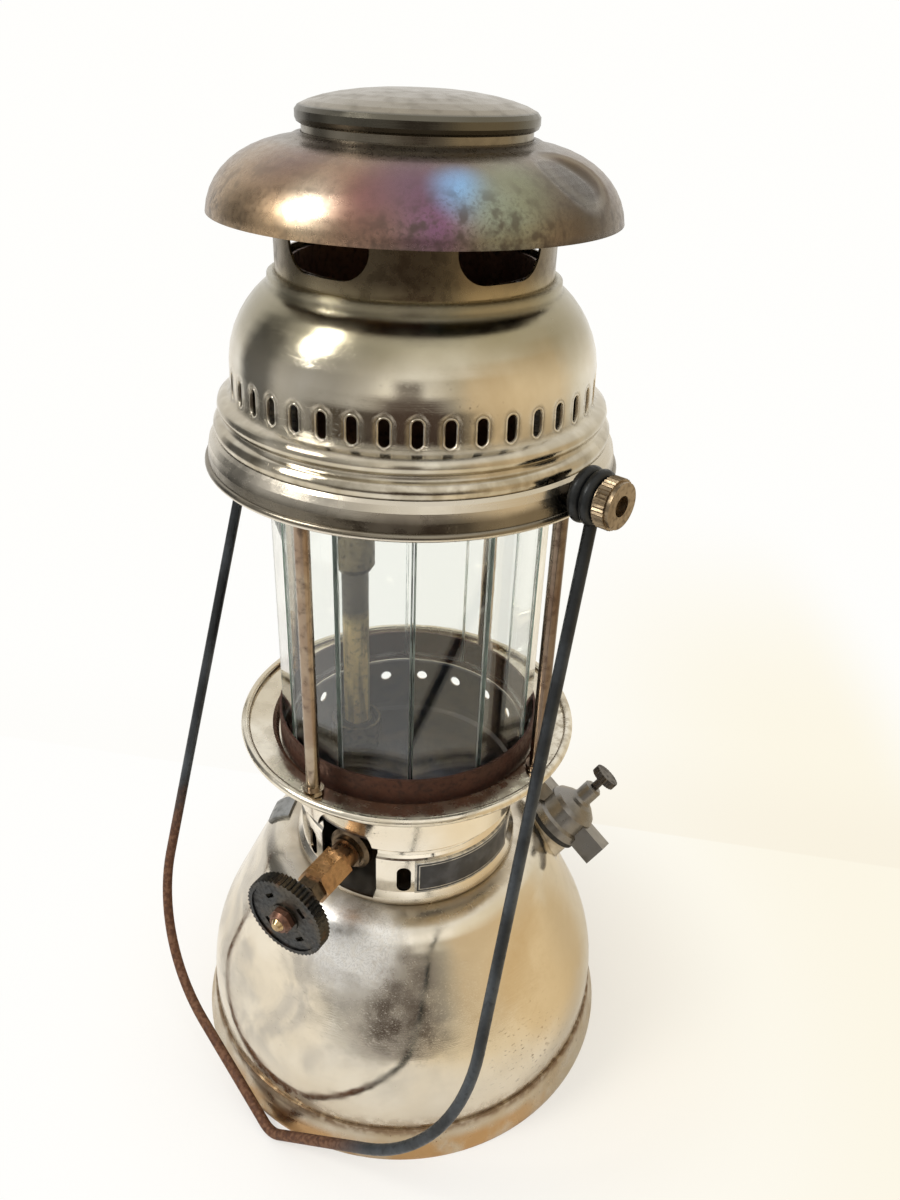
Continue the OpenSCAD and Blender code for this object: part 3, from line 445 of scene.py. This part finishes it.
def collar_look():
    look = plated("collar_nickel", (0.90, 0.86, 0.78), (0.80, 0.72, 0.58), NICKEL_DIRT,
                  shine=(0.06, 0.2), dents=0.12)
    foot = look.times(
        look.step(look.height(), 88, 83), look.step(look.noise(9, 3.0), 0.25, 0.6, 0.4, 1.0), 0.75)
    look.stain(foot, 1.0, (0.24, 0.18, 0.10), rougher=0.35)
    look.finish("collar", "filler_neck")


def badge_look():
    """A bare black plate with a silver rim and a plain border line inside it."""
    look = Look("badge_black")
    per_degree = BADGE_RADIUS * math.pi / 180
    side = look.times(look.azimuth(), per_degree)
    half, middle = (BADGE_TO - BADGE_FROM) / 2 * per_degree, (BADGE_FROM + BADGE_TO) / 2 * per_degree
    from_end = look.minus(half, look.off(side, middle))
    half_z, middle_z = (BADGE_HIGH - BADGE_LOW) / 2, (BADGE_LOW + BADGE_HIGH) / 2
    from_side = look.minus(half_z, look.off(look.height(), middle_z))
    inset = look.math("MINIMUM", from_end, from_side)
    rim = look.step(inset, 0.75, 0.6)
    line = look.times(look.step(inset, 1.25, 1.4), look.step(inset, 1.75, 1.6))
    wear = look.step(look.noise(2.4, 5.0), 0.34, 0.6, 0.5, 1.0)
    silver = look.times(look.most(rim, line), wear)
    faded = look.step(look.noise(6, 5.0), 0.4, 0.7, 0.0, 0.6)
    look.tone = look.mix(faded, (0.018, 0.018, 0.02), (0.075, 0.075, 0.08))
    look.stain(silver, 1.0, (0.62, 0.60, 0.55))
    look.rough = look.minus(look.step(look.noise(4, 4.0), 0.3, 0.7, 0.34, 0.5), look.times(silver, 0.1))
    look.relief = look.bump(silver, 0.12)
    look.set(metallic=silver)
    look.finish("badge_plate")


def dish_look():
    look = plated("gallery_nickel", (0.80, 0.75, 0.64), (0.62, 0.55, 0.42), (0.14, 0.09, 0.055),
                  shine=(0.12, 0.34), spots=1.0, dents=0.12)
    z, r = look.height(), look.radius()
    inside = look.times(
        look.step(r, 39.3, 38.2), look.step(z, 134.2, 133.2), look.minus(1.0, look.step(r, 38.3, 38.6)))
    brown = look.times(
        look.step(r, 44, 47),
        look.step(look.azimuth(), 50, 95, 0.12, 1.0),
        look.step(look.noise(2.6, 6.0), 0.44, 0.66))
    look.stain(brown, 0.35, (0.34, 0.27, 0.18), rougher=0.22)
    soot = look.mix(look.step(look.noise(11, 5.0), 0.35, 0.68), (0.085, 0.09, 0.11), (0.16, 0.14, 0.125))
    look.stain(inside, 1.0, soot, rougher=0.22)
    look.finish("gallery_dish")


# ---- Handwheel ----


def wheel_look():
    look = tarnished("wheel_iron", (0.044, 0.046, 0.048), (0.080, 0.070, 0.055), (0.014, 0.013, 0.012),
                     shine=(0.26, 0.48), grain=1.3, depth=0.12)
    rust = look.times(look.step(look.noise(5, 5.0), 0.52, 0.68), look.step(look.noise(14, 3.0), 0.4, 0.6))
    look.stain(rust, 0.6, (0.15, 0.08, 0.045))
    look.finish("handwheel")


# ---- Vaporizer and burner ----

SLEEVE_FOOT = 181.0


def vaporizer_look():
    look = tarnished("vaporizer_brass", (0.92, 0.72, 0.34), (0.64, 0.48, 0.24), (0.10, 0.08, 0.05),
                     shine=(0.3, 0.5), grain=1.8, metallic=0.35, depth=0.02)
    z = look.height()
    runs = look.step(look.noise(3.0, 5.0, stretch=(1, 1, 0.12)), 0.42, 0.60)
    # Soot at the top end, below the sleeve, and painted shade at the foot, where the tube meets the dish
    # floor
    ends = look.most(look.step(z, SLEEVE_FOOT - 25, SLEEVE_FOOT - 14), look.step(z, 120, 108))
    look.stain(look.most(look.times(ends, 0.92), look.times(runs, 0.6)), 1.0, SOOT_AND_SHADE)
    look.finish("vaporizer_tube", "mixing_tube")


def nozzle_look():
    look = Look("fired_clay", roughness=0.9)
    grit = look.noise(0.7, detail=5.0)
    look.tone = look.mix(look.step(grit, 0.3, 0.7), (0.70, 0.63, 0.52), (0.56, 0.48, 0.38))
    look.stain(look.step(look.noise(6, 5.0), 0.5, 0.72, 0.0, 0.7), 1.0, (0.16, 0.13, 0.11))
    look.relief = look.bump(grit, 0.15)
    look.finish("burner_nozzle")


# ---- Globe and cage ----

STRIPS = 12
STRIP_W = 20.76
GLASS, GLASS_EDGE = (0.97, 0.98, 0.95), (0.72, 0.86, 0.75)


def glass_look():
    """Clear strips with a thin film of dust, and rough green-white edges."""
    look = Look("globe_glass")
    look.set(transmission_weight=1.0, ior=1.5)
    film = look.step(look.noise(9, 5.0), 0.45, 0.8, 0.015, 0.07)
    turned = look.math("DIVIDE", look.azimuth(), 360.0 / STRIPS)
    share = look.off(turned, look.math("ROUND", turned))
    across = look.times(look.math("SINE", look.times(share, 2 * math.pi / STRIPS)), look.radius())
    edge = look.step(across, STRIP_W / 2 - 0.12, STRIP_W / 2 - 0.04)
    chips = look.step(look.noise(2.5, 4.0, stretch=(1, 1, 0.4)), 0.35, 0.6, 0.35, 1.0)
    look.tone = look.mix(edge, GLASS, GLASS_EDGE)
    look.rough = look.plus(film, look.times(edge, chips, 0.75))
    look.relief = look.bump(look.noise(14, 2.0), 0.02)
    look.finish("globe_strips")


def rod_look():
    look = tarnished("rod_plate", (0.40, 0.33, 0.25), (0.27, 0.195, 0.14), (0.09, 0.06, 0.045),
                     shine=(0.14, 0.3), grain=2.6, depth=0.015)
    # Painted shade: the rods past azimuth 60 to 80, on the right and at the back, are darkened to stand in
    # for their dark reflection
    look.stain(look.step(look.azimuth(), 60.0, 80.0, 0.0, 0.65), 1.0, (0.10, 0.062, 0.045))
    look.finish("rod_front", "rod_right", "rod_back", "rod_left")


# ---- Bail ----


def bail_look():
    """Blued wire, rusty on the left low down."""
    look = Look("bail_wire", metallic=0.75)
    small = look.noise(1.5, 5.0)
    big = look.noise(16, 4.0)
    z = look.height()
    look.tone = look.mix(look.step(big, 0.35, 0.68), (0.034, 0.037, 0.040), (0.074, 0.084, 0.095))
    look.stain(look.step(small, 0.55, 0.8, 0.0, 0.5), 1.0, (0.018, 0.017, 0.017))
    look.stain(look.step(z, 190, 226, 0.0, 0.8), 1.0, (0.020, 0.020, 0.019))
    left = look.step(look.plus(look.axis("x"), look.times(small, 12 * MM)), 62 * MM, 44 * MM)
    low = look.step(look.plus(z, look.times(big, 40.0)), 118, 82)
    rust = look.times(left, low, look.step(small, 0.25, 0.5, 0.7, 1.0))
    rust_tone = look.mix(look.step(small, 0.4, 0.65), (0.12, 0.055, 0.032), (0.24, 0.13, 0.08))
    look.rough = look.step(small, 0.3, 0.75, 0.32, 0.55)
    look.stain(rust, 1.0, rust_tone, rougher=0.25)
    look.relief = look.bump(small, 0.12)
    look.finish("bail")


# ---- Hood ----

VENTS = 40
VENT_Z = 253.65
VENT_RADIUS = 51.0
VENT_WIDTH, VENT_HEIGHT = 2.8, 7.0
DISC_FLAT = 28.6  # radius of the disc's top, inside its rounded rim

# Heat tints on the cap, with painted highlights among them: where each is strongest, how far it reaches
# and its colour
TINTS_AND_HIGHLIGHTS = (
    (place(51, -8, 302), 42, (0.47, 0.335, 0.205)),
    # Gold heat tint, brightened into a painted halo round the lamp's highlight
    (place(50, 14, 303), 26, (0.66, 0.46, 0.27)),
    # Painted highlight: the white-hot reflection of the lamp
    (place(50, 17, 304), 11, (0.95, 0.84, 0.64)),
    (place(41, 4, 311), 22, (0.22, 0.14, 0.11)),
    (place(49, 32, 305), 20, (0.25, 0.125, 0.105)),
    (place(46, 44, 308), 17, (0.19, 0.115, 0.15)),
    (place(51, 49, 300), 12, (0.20, 0.10, 0.17)),
    # Blue heat tint, brightened as a painted highlight
    (place(47, 56, 308), 10, (0.26, 0.48, 0.82)),
    (place(50, 66, 303), 15, (0.29, 0.34, 0.28)),
    (place(46, 74, 308), 15, (0.28, 0.29, 0.20)),
    (place(50, 94, 303), 24, (0.125, 0.105, 0.085)),
)
DENT_AT, DENT_REACH, DENT_DEPTH = place(45, 99, 309.0), 12, -5.0


def shoulder_look():
    """Plate that is browner and darker at the top, with heat browning and painted shade under the cap, and
    duller at the foot, with a pressed lip round each slot.
    """
    look = plated("hood_nickel", (0.80, 0.76, 0.665), (0.68, 0.61, 0.48), NICKEL_DIRT,
                  shine=(0.05, 0.14), spots=0.4, dents=0.14, worn=0.03, facet=2.7, plain_below=248.5)
    z = look.height()
    # Heat browning and painted shade: the top, under the cap's overhang, is darkened towards a dark olive
    top = look.step(look.plus(z, look.times(look.noise(16, 3.0), 6.0)), 264, 277)
    look.stain(top, 0.92, (0.33, 0.295, 0.20), rougher=0.1)
    low = look.times(look.step(z, 262, 250), look.step(look.noise(6, 6.0), 0.25, 0.65, 0.45, 1.0))
    look.stain(low, 0.7, (0.40, 0.355, 0.27))
    dull = look.times(look.step(z, 246, 240), look.step(look.noise(5, 6.0), 0.42, 0.7))
    look.stain(dull, 0.6, (0.24, 0.195, 0.13))

    pitch = 360 / VENTS
    turned = look.math("DIVIDE", look.azimuth(), pitch)
    share = look.minus(turned, look.math("ROUND", turned))
    across = look.times(share, math.radians(pitch) * VENT_RADIUS)
    along = look.most(0.0, look.minus(look.off(z, VENT_Z), (VENT_HEIGHT - VENT_WIDTH) / 2))
    away = look.math("SQRT", look.plus(look.times(across, across), look.times(along, along)))
    edge = VENT_WIDTH / 2
    look.stain(look.step(away, edge + 1.3, edge + 0.5), 0.4, (0.26, 0.22, 0.16))
    lip = look.step(away, edge + 0.55, edge + 0.3)
    look.stain(lip, 1.0, (0.78, 0.72, 0.60))
    look.relief = look.bump(lip, 0.15, look.relief)
    look.finish("hood_shoulder")


def band_look():
    look = plated("band_nickel", (0.27, 0.245, 0.20), (0.21, 0.18, 0.135), (0.07, 0.05, 0.035),
                  shine=(0.18, 0.34), spots=0.9, dents=0.1, worn=0.03)
    z = look.height()
    upper = look.step(look.plus(z, look.times(look.noise(9, 4.0), 2.5)), 234.6, 237.4)
    look.stain(upper, 1.0, (0.62, 0.57, 0.48))
    look.stain(look.step(z, 230.4, 229.8), 1.0, (0.74, 0.69, 0.60))
    look.finish("hood_band")


def neck_look():
    look = tarnished("neck_patina", (0.22, 0.175, 0.11), (0.16, 0.125, 0.08), (0.075, 0.058, 0.038),
                     shine=(0.22, 0.38), grain=3.6, depth=0.006)
    look.stain(look.step(look.height(), 286, 281), 1.0, (0.38, 0.315, 0.20))
    look.finish("hood_neck")


def disc_look():
    look = tarnished("disc_grey", (0.315, 0.28, 0.22), (0.285, 0.25, 0.195), (0.19, 0.165, 0.125),
                     shine=(0.22, 0.34), grain=4.0, depth=0.004)
    # Painted shade: the rounded rim outside the flat top is darkened
    look.stain(look.step(look.radius(), DISC_FLAT, DISC_FLAT + 1.2), 1.0, (0.13, 0.12, 0.095))
    look.relief = look.bump(spun_lines(look), 0.012, look.relief)
    look.finish("hood_disc")


def cap_look():
    """Heat tints and painted highlights under fine dark specks, with a shallow dent whose rim has a
    painted highlight and whose hollow has painted shade.
    """
    look = Look("cap_tint", metallic=1.0)
    wide = look.noise(12, 5.0, twist=1.2)
    small = look.noise(1.6, 6.0)
    z = look.height()
    look.tone = look.mix(look.step(wide, 0.35, 0.68), (0.25, 0.20, 0.155), (0.19, 0.145, 0.12))
    for point, reach, colour in TINTS_AND_HIGHLIGHTS:
        look.stain(look.times(look.near(point, reach), look.step(wide, 0.15, 0.5, 0.75, 1.0)), 1.0, colour)

    cloud = look.step(look.noise(3.4, detail=9.0), 0.46, 0.66)
    fine = look.step(look.noise(0.8, detail=4.0), 0.46, 0.66)
    zone = look.step(look.noise(16, 4.0), 0.34, 0.62, 0.35, 1.0)
    low = look.step(z, 311, 299, 0.25, 0.8)
    look.rough = look.step(small, 0.3, 0.75, 0.25, 0.34)
    specks = look.times(look.most(cloud, look.times(fine, 0.6)), zone, low)
    look.stain(specks, 1.0, (0.085, 0.068, 0.057), rougher=0.08)
    look.stain(look.step(z, 311.3, 313.0), 0.7, (0.19, 0.17, 0.14))

    dent = look.near(DENT_AT, DENT_REACH)
    # Painted highlight on the dent's rim and painted shade in its hollow
    dent_rim_highlight = look.times(look.step(dent, 0.02, 0.16), look.step(dent, 0.42, 0.22))
    look.stain(dent_rim_highlight, 0.3, (0.36, 0.33, 0.27))
    look.stain(look.step(dent, 0.3, 0.75, 0.0, 0.6), 1.0, (0.10, 0.083, 0.065))
    look.relief = look.bump(dent, DENT_DEPTH, look.rounded(3.0))
    look.relief = look.bump(look.noise(40, 1.0), 0.2, look.relief)
    look.relief = look.bump(small, 0.008, look.relief)
    look.finish("hood_cap")


# ---- Gasket and pump ----


def rubber_look():
    look = Look("gasket_rubber", roughness=0.75)
    grain = look.noise(1.2, 5.0)
    look.tone = look.mix(look.step(grain, 0.35, 0.7), (0.012, 0.012, 0.012), (0.035, 0.033, 0.03))
    look.relief = look.bump(grain, 0.06)
    look.finish("filler_gasket")


def leather_look():
    look = Look("pump_leather", roughness=0.7)
    grain = look.noise(0.9, 5.0)
    look.tone = look.mix(grain, (0.10, 0.05, 0.03), (0.20, 0.11, 0.06))
    look.relief = look.bump(grain, 0.08)
    look.finish("pump_leather")


def knob_look():
    look = Look("knob_lacquer")
    wear = look.step(look.noise(5, 5.0), 0.52, 0.7)
    look.tone = look.mix(wear, (0.014, 0.013, 0.012), (0.07, 0.045, 0.03))
    look.rough = look.step(wear, 0.0, 1.0, 0.3, 0.6)
    look.finish("pump_knob")


# ---- Stage ----

FLOOR_LEFT, FLOOR_RIGHT, FLOOR_FRONT, FLOOR_BACK = -0.65, 0.32, -0.50, 2.0  # metres
FLOOR_GREY, FLOOR_WARM = (0.94, 0.92, 0.885), (0.92, 0.81, 0.62)
PAPER, PAPER_CREAM, PAPER_FOLD_SHADE = (1.0, 0.995, 0.975), (0.98, 0.93, 0.79), (0.93, 0.86, 0.72)
CORNER_AT, CORNER_LEAN = 106.0, -0.155  # the paper's fold: behind = CORNER_AT + CORNER_LEAN * across


def stage_axes(look):
    """How far a place is to the right of the lantern and behind it, from the photograph's side."""
    c, s = math.cos(math.radians(TURN)), math.sin(math.radians(TURN))
    x, y = look.axis("x"), look.axis("y")
    across = look.plus(look.times(x, MM_PER_M * c), look.times(y, MM_PER_M * s))
    behind = look.plus(look.times(x, -MM_PER_M * s), look.times(y, MM_PER_M * c))
    return across, behind


def make_stage():
    """A pale floor that keeps the lantern's shadow near it and is plain paper further out."""
    corners = [
        (FLOOR_LEFT, FLOOR_FRONT, 0), (FLOOR_RIGHT, FLOOR_FRONT, 0),
        (FLOOR_RIGHT, FLOOR_BACK, 0), (FLOOR_LEFT, FLOOR_BACK, 0)]
    mesh = bpy.data.meshes.new("floor")
    mesh.from_pydata(corners, [], [(0, 1, 2, 3)])
    mesh.transform(Matrix.Rotation(math.radians(TURN), 4, "Z"))
    floor = bpy.data.objects.new("floor", mesh)
    bpy.context.scene.collection.objects.link(floor)

    look = Look("floor", roughness=0.85)
    across, behind = stage_axes(look)
    look.set(base_color=look.mix(look.step(across, 10.0, 150.0), FLOOR_GREY, FLOOR_WARM))
    cream = look.times(
        look.step(across, 0.0, 215.0), look.step(across, 312.0, 238.0),
        look.step(behind, 500.0, 150.0), look.step(behind, -420.0, -220.0))
    past_fold = look.minus(behind, look.plus(look.times(across, CORNER_LEAN), CORNER_AT))
    # Painted shade: a band of darker cream past the paper's fold, fading over 90 mm
    fold_shade = look.times(
        look.step(past_fold, -0.5, 0.8), look.step(past_fold, 90.0, 1.0),
        look.step(across, -200, 260, 0.12, 1.0), look.step(across, 316, 280))
    paper = look.mix(look.times(fold_shade, 0.55), look.mix(cream, PAPER, PAPER_CREAM), PAPER_FOLD_SHADE)

    glow = look.tree.nodes.new("ShaderNodeEmission")
    look.put(paper, glow.inputs["Color"])
    far = look.step(look.radius(), 72.0, 160.0, 0.48, 1.0)
    path = look.tree.nodes.new("ShaderNodeLightPath").outputs
    seen = look.most(path["Is Camera Ray"], path["Is Transmission Ray"])
    blend = look.tree.nodes.new("ShaderNodeMixShader")
    look.put(look.times(far, seen), blend.inputs["Fac"])
    look.put(look.shader.outputs["BSDF"], blend.inputs[1])
    look.put(glow.outputs["Emission"], blend.inputs[2])
    look.put(blend.outputs["Shader"], look.tree.nodes["Material Output"].inputs["Surface"])
    mesh.materials.append(look.material)


# ---- Room and lamp ----


def grey(level, warmth=0.0):
    """A light of the given level, from neutral white at 0 to cream at 1."""
    return (level, level * (0.985 - 0.10 * warmth), level * (0.955 - 0.31 * warmth))


# The room that the metal reflects: azimuth from the camera's side, and the light from there
WALLS = (
    (-180, grey(1.0)), (-130, grey(0.9)), (-118, grey(0.13)), (-96, grey(0.17)), (-85, grey(0.52)),
    (-45, grey(0.42)), (-26, grey(0.6, 0.2)), (-14, grey(0.98, 0.3)), (14, grey(0.85, 0.3)),
    (27, grey(0.6, 0.7)), (38, (0.72, 0.58, 0.39)), (68, (0.80, 0.64, 0.42)), (102, (0.76, 0.62, 0.42)),
    (118, grey(0.8, 0.6)), (138, grey(0.95, 0.3)), (180, grey(1.0)))
CEILING = (
    (-180, grey(1.0)), (-125, grey(0.9)), (-110, grey(0.26)), (-88, grey(0.55)), (-50, grey(0.55)),
    (-22, grey(0.75, 0.3)), (8, grey(1.25, 0.1)), (35, grey(1.2, 0.2)), (50, grey(1.02, 0.5)),
    (85, grey(0.9, 0.7)), (112, grey(0.95, 0.4)), (180, grey(1.0)))
FLOOR_SHADE, FIGURE = (0.11, 0.095, 0.08), (0.085, 0.06, 0.048)
ROOM_LIGHT = (0.86, 0.85, 0.83)  # what lights the surfaces evenly


def make_world():
    """A white room with a grey side, a cream side and a dark figure behind the camera."""
    world = bpy.data.worlds.new("room")
    bpy.context.scene.world = world
    world.use_nodes = True
    room = Nodes(world.node_tree, "Generated")
    turned = room.tree.nodes.new("ShaderNodeVectorRotate")
    turned.rotation_type = "Z_AXIS"
    turned.inputs["Angle"].default_value = math.radians(-TURN)
    room.put(room.here, turned.inputs["Vector"])
    room.here = turned.outputs["Vector"]
    side = room.azimuth()
    up = room.times(room.math("ARCSINE", room.axis("z")), DEG_PER_RAD)
    walls = room.ramp(side, -180, 180, *WALLS)
    ceiling = room.ramp(side, -180, 180, *CEILING)
    tone = room.mix(room.step(up, 22, 40), walls, ceiling)
    tone = room.mix(room.step(up, 52, 66), tone, grey(1.0, 0.1))
    pit = room.times(room.step(up, -3, -9), room.step(side, -78, -46), room.step(side, 50, 26))
    tone = room.mix(pit, tone, FLOOR_SHADE)
    head = room.times(room.step(side, -12, -4), room.step(side, 12, 4), room.step(up, 25, 19))
    body = room.times(room.step(side, -34, -8), room.step(side, 38, 12), room.step(up, 9, -3))
    tone = room.mix(room.most(room.times(head, 0.8), body), tone, FIGURE)
    path = room.tree.nodes.new("ShaderNodeLightPath").outputs
    tone = room.mix(path["Is Diffuse Ray"], tone, ROOM_LIGHT)
    seen = room.most(path["Is Camera Ray"], path["Is Transmission Ray"])
    tone = room.mix(seen, tone, PAPER)
    background = room.tree.nodes["Background"]
    room.put(tone, background.inputs["Color"])
    background.inputs["Strength"].default_value = 1.0
    world.cycles.sampling_method = "NONE"


LAMP_SIDE, LAMP_UP = -71, 43  # azimuth from the camera's, and elevation
LAMP_WIDTH, LAMP_HEIGHT, LAMP_AWAY = 0.38, 0.74, 1.4  # metres
LAMP_AIM = Vector((0, 0, 0.17))  # metres
LAMP_WATTS = 8.5


def key_lamp():
    """A tall soft lamp to the left of the camera, like a small window."""
    data = bpy.data.lights.new("key", "AREA")
    data.shape = "ELLIPSE"
    data.size = LAMP_WIDTH
    data.size_y = LAMP_HEIGHT
    data.energy = LAMP_WATTS
    data.color = (1.0, 0.98, 0.94)
    lamp = bpy.data.objects.new("key", data)
    turn = Matrix.Rotation(math.radians(TURN + LAMP_SIDE), 4, "Z")
    tilt = Matrix.Rotation(math.radians(-LAMP_UP), 4, "X")
    out = turn @ tilt @ Vector((0, -1, 0))
    lamp.location = LAMP_AIM + out * LAMP_AWAY
    lamp.rotation_euler = out.to_track_quat("Z", "Y").to_euler()
    bpy.context.scene.collection.objects.link(lamp)


make_camera()
dull_metal_looks()
tank_look()
foot_look()
collar_look()
badge_look()
dish_look()
wheel_look()
vaporizer_look()
nozzle_look()
glass_look()
rod_look()
bail_look()
shoulder_look()
band_look()
neck_look()
cap_look()
disc_look()
rubber_look()
leather_look()
knob_look()
make_stage()
make_world()
key_lamp()
bpy.context.scene.view_settings.view_transform = "Standard"
